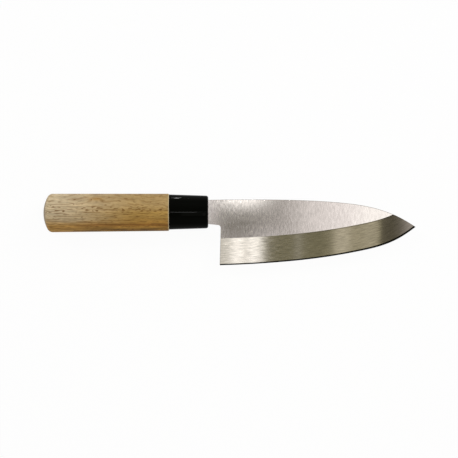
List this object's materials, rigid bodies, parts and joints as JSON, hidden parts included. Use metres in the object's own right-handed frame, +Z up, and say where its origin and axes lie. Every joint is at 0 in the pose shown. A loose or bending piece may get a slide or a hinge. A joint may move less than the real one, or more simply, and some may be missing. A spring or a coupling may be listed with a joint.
{
  "type": "deba knife",
  "caption": "Heavy single-bevel kitchen knife with a wooden handle of chestnut section and a black moulded ferrule, lying on its side.",
  "frame": {"origin": "middle of the knife's length and height, on the surface that the handle rests on as the knife lies on its side", "axes": "+X from the butt of the handle to the tip, +Y from the edge to the spine, +Z up, out of the bevelled face"},
  "size_m": [0.2848, 0.0546, 0.0228],
  "materials": {
    "blade_steel": "satin flats, lengthwise brushed bevel, polished edge",
    "handle_wood": "bare sanded wood with open pores",
    "ferrule_black": "glossy black moulded plastic",
    "adhesive": "cured adhesive, hidden inside the handle"
  },
  "bodies": {
    "root": {"blade": "blade_steel", "handle": "handle_wood", "ferrule": "ferrule_black", "tang_adhesive": "adhesive"}
  },
  "joints": []
}
